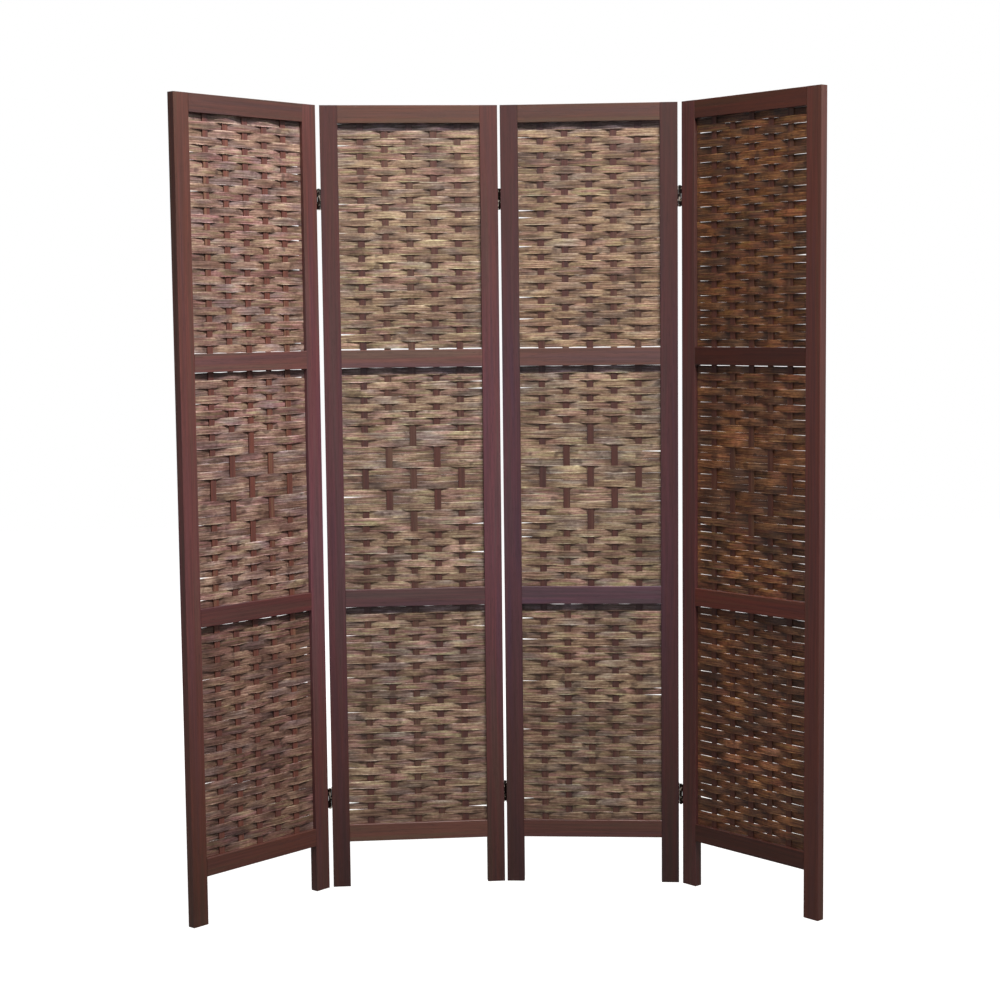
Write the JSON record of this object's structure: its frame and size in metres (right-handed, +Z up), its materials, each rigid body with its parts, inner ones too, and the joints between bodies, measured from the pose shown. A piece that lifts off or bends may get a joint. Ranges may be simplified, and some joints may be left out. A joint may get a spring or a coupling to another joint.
{
  "type": "folding screen",
  "caption": "Folding screen with hinged wooden frames on leg-like stiles, each with stacked openings of thin strips woven round upright slats.",
  "frame": {"origin": "on the floor, at the middle of the footprint of the screen as it stands in the picture", "axes": "+Z up along the stiles; the fronts face -Y, and +X runs from panel 1 to panel 4"},
  "size_m": [1.3812, 0.3628, 1.79],
  "materials": {
    "frame_wood": "satin",
    "slat_wood": "satin",
    "woven_strip": "matte",
    "hinge_metal": "aged satin"
  },
  "bodies": {
    "panel_1": {"panel_1_left_stile": "frame_wood", "panel_1_right_stile": "frame_wood", "panel_1_top_rail": "frame_wood", "panel_1_upper_rail": "frame_wood", "panel_1_lower_rail": "frame_wood", "panel_1_bottom_rail": "frame_wood", "panel_1_stakes": "slat_wood", "panel_1_weave_top": "woven_strip", "panel_1_weave_middle": "woven_strip", "panel_1_weave_bottom": "woven_strip", "hinge_12_left_leaves": "hinge_metal", "hinge_12_left_screws": "hinge_metal", "hinge_12_pins": "hinge_metal"},
    "panel_2": {"panel_2_left_stile": "frame_wood", "panel_2_right_stile": "frame_wood", "panel_2_top_rail": "frame_wood", "panel_2_upper_rail": "frame_wood", "panel_2_lower_rail": "frame_wood", "panel_2_bottom_rail": "frame_wood", "panel_2_stakes": "slat_wood", "panel_2_weave_top": "woven_strip", "panel_2_weave_middle": "woven_strip", "panel_2_weave_bottom": "woven_strip", "hinge_12_right_leaves": "hinge_metal", "hinge_12_right_screws": "hinge_metal", "hinge_23_left_leaves": "hinge_metal", "hinge_23_left_screws": "hinge_metal", "hinge_23_pins": "hinge_metal"},
    "panel_3": {"panel_3_left_stile": "frame_wood", "panel_3_right_stile": "frame_wood", "panel_3_top_rail": "frame_wood", "panel_3_upper_rail": "frame_wood", "panel_3_lower_rail": "frame_wood", "panel_3_bottom_rail": "frame_wood", "panel_3_stakes": "slat_wood", "panel_3_weave_top": "woven_strip", "panel_3_weave_middle": "woven_strip", "panel_3_weave_bottom": "woven_strip", "hinge_23_right_leaves": "hinge_metal", "hinge_23_right_screws": "hinge_metal", "hinge_34_left_leaves": "hinge_metal", "hinge_34_left_screws": "hinge_metal"},
    "panel_4": {"panel_4_left_stile": "frame_wood", "panel_4_right_stile": "frame_wood", "panel_4_top_rail": "frame_wood", "panel_4_upper_rail": "frame_wood", "panel_4_lower_rail": "frame_wood", "panel_4_bottom_rail": "frame_wood", "panel_4_stakes": "slat_wood", "panel_4_weave_top": "woven_strip", "panel_4_weave_middle": "woven_strip", "panel_4_weave_bottom": "woven_strip", "hinge_34_right_leaves": "hinge_metal", "hinge_34_right_screws": "hinge_metal", "hinge_34_pins": "hinge_metal"}
  },
  "joints": [
    {"name": "hinge_12", "type": "hinge", "parent": "panel_2", "child": "panel_1", "pos_m": [-0.40091, 0.12365, 0.9], "axis": [0, 0, 1], "range_deg": [-42.6, 137.4]},
    {"name": "hinge_23", "type": "hinge", "parent": "panel_2", "child": "panel_3", "pos_m": [0.00501, 0.17838, 0.9], "axis": [0, 0, 1], "range_deg": [-0.8, 189.2]},
    {"name": "hinge_34", "type": "hinge", "parent": "panel_3", "child": "panel_4", "pos_m": [0.41093, 0.12365, 0.9], "axis": [0, 0, -1], "range_deg": [-44.6, 135.4]}
  ]
}
